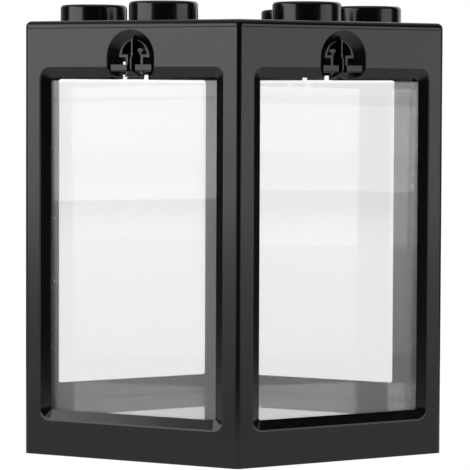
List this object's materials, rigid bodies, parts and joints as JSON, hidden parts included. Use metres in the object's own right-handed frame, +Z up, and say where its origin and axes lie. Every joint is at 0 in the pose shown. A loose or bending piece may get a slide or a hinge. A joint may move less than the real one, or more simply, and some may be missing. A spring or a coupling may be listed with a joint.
{
  "type": "hexagonal desktop aquarium",
  "caption": "Hexagonal desktop aquarium: a black moulded housing with a bevelled window in each face, a clear inner tank, and a flat studded lid with a lift-out feeding hatch.",
  "frame": {"origin": "middle of the underside, in the plane of the bottom rim", "axes": "+Z up, through the middle of the lid; one upright edge points along -Y; two faces look along +X and -X"},
  "size_m": [0.1446, 0.1664, 0.157],
  "materials": {
    "shell_black": "glossy moulded plastic",
    "base_black": "glossy moulded plastic",
    "lid_black": "glossy moulded plastic",
    "hatch_black": "glossy moulded plastic",
    "socket_black": "glossy moulded plastic",
    "tank_clear": "clear polished plastic"
  },
  "bodies": {
    "housing": {"outer_shell": "shell_black", "base_plate": "base_black", "water_tank": "tank_clear", "clip_socket_right": "socket_black", "clip_socket_back_right": "socket_black", "clip_socket_back_left": "socket_black", "clip_socket_left": "socket_black", "clip_socket_front_left": "socket_black", "clip_socket_front_right": "socket_black"},
    "lid": {"lid": "lid_black"},
    "hatch": {"feeding_hatch": "hatch_black"}
  },
  "joints": [
    {"name": "lid_lift", "type": "slide", "parent": "housing", "child": "lid", "axis": [0, 0, 1], "range_m": [0, 0.08]},
    {"name": "hatch_lift", "type": "slide", "parent": "lid", "child": "hatch", "axis": [0, 0, 1], "range_m": [0, 0.03]}
  ]
}
